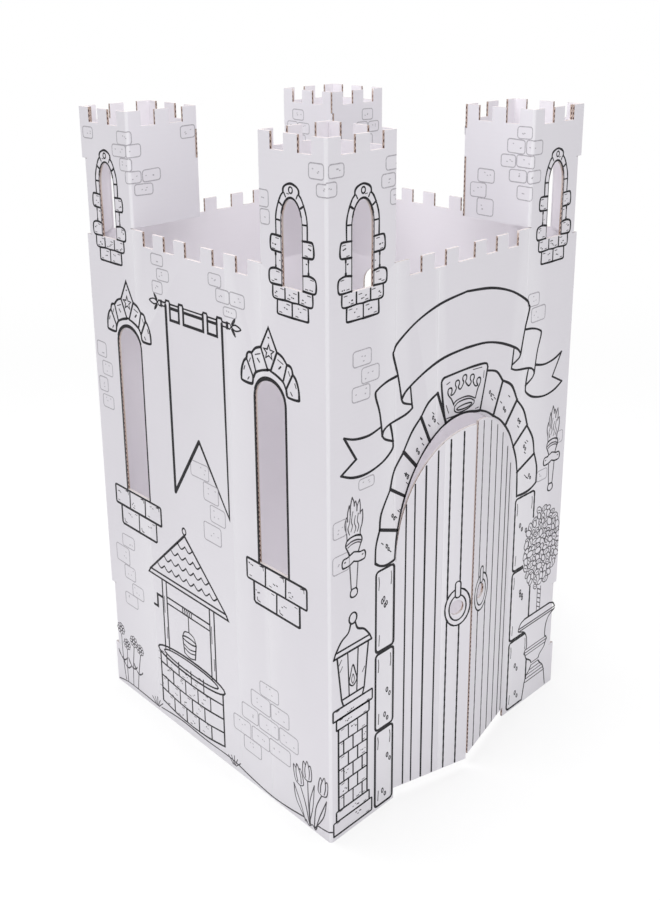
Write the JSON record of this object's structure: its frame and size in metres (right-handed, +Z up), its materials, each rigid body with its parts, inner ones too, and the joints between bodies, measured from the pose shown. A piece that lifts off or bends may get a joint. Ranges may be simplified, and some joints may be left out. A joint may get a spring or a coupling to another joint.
{
  "type": "cardboard castle",
  "caption": "Cardboard play castle of two folded sheets, with corner towers, battlements, arched windows and a double door.",
  "frame": {"origin": "on the floor, in the middle of the footprint, the half-open door leaves counted", "axes": "+Z up; the door wall faces -Y and the window wall faces -X, so the near corner between them is at -X -Y"},
  "size_m": [0.58, 0.6182, 1.08],
  "materials": {
    "printed_card": "matt pale lilac printed liner with charcoal line print; brown fluted cut edges"
  },
  "bodies": {
    "root": {"front_sheet": "printed_card", "back_sheet": "printed_card"}
  },
  "joints": []
}
